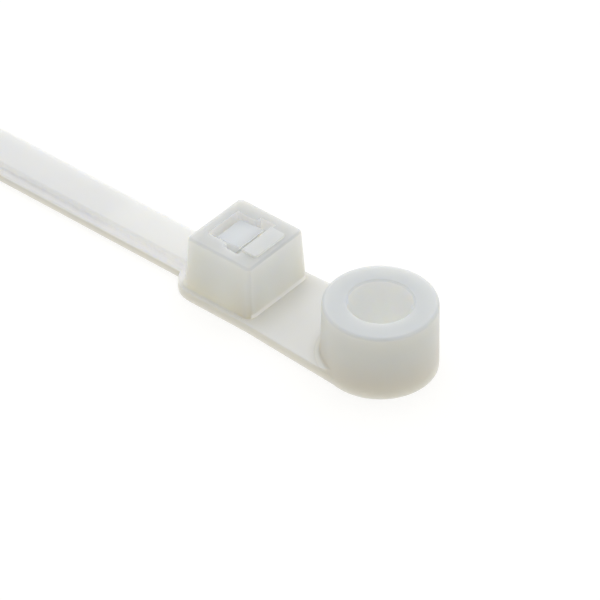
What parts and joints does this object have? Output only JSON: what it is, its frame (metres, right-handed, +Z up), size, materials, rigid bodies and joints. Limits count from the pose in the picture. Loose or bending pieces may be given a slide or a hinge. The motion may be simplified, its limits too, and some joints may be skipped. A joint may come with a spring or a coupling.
{
  "type": "screw mount cable tie",
  "caption": "Nylon cable tie with a round screw boss and a ratchet head on a thin base plate, and a flat toothed strap that locks in the head to hold a cable bundle to a surface.",
  "frame": {"origin": "axis of the screw hole, at the underside that lies on the mounting surface", "axes": "+Z up along the screw hole, out of the mounting surface; +X from the screw boss through the head to the strap's tip"},
  "size_m": [0.1599, 0.0076, 0.0049],
  "materials": {
    "natural_nylon": "satin moulded natural nylon, slightly translucent, cool on the top faces and warmer in the thick side walls"
  },
  "bodies": {
    "root": {"screw_mount_tie": "natural_nylon"}
  },
  "joints": []
}
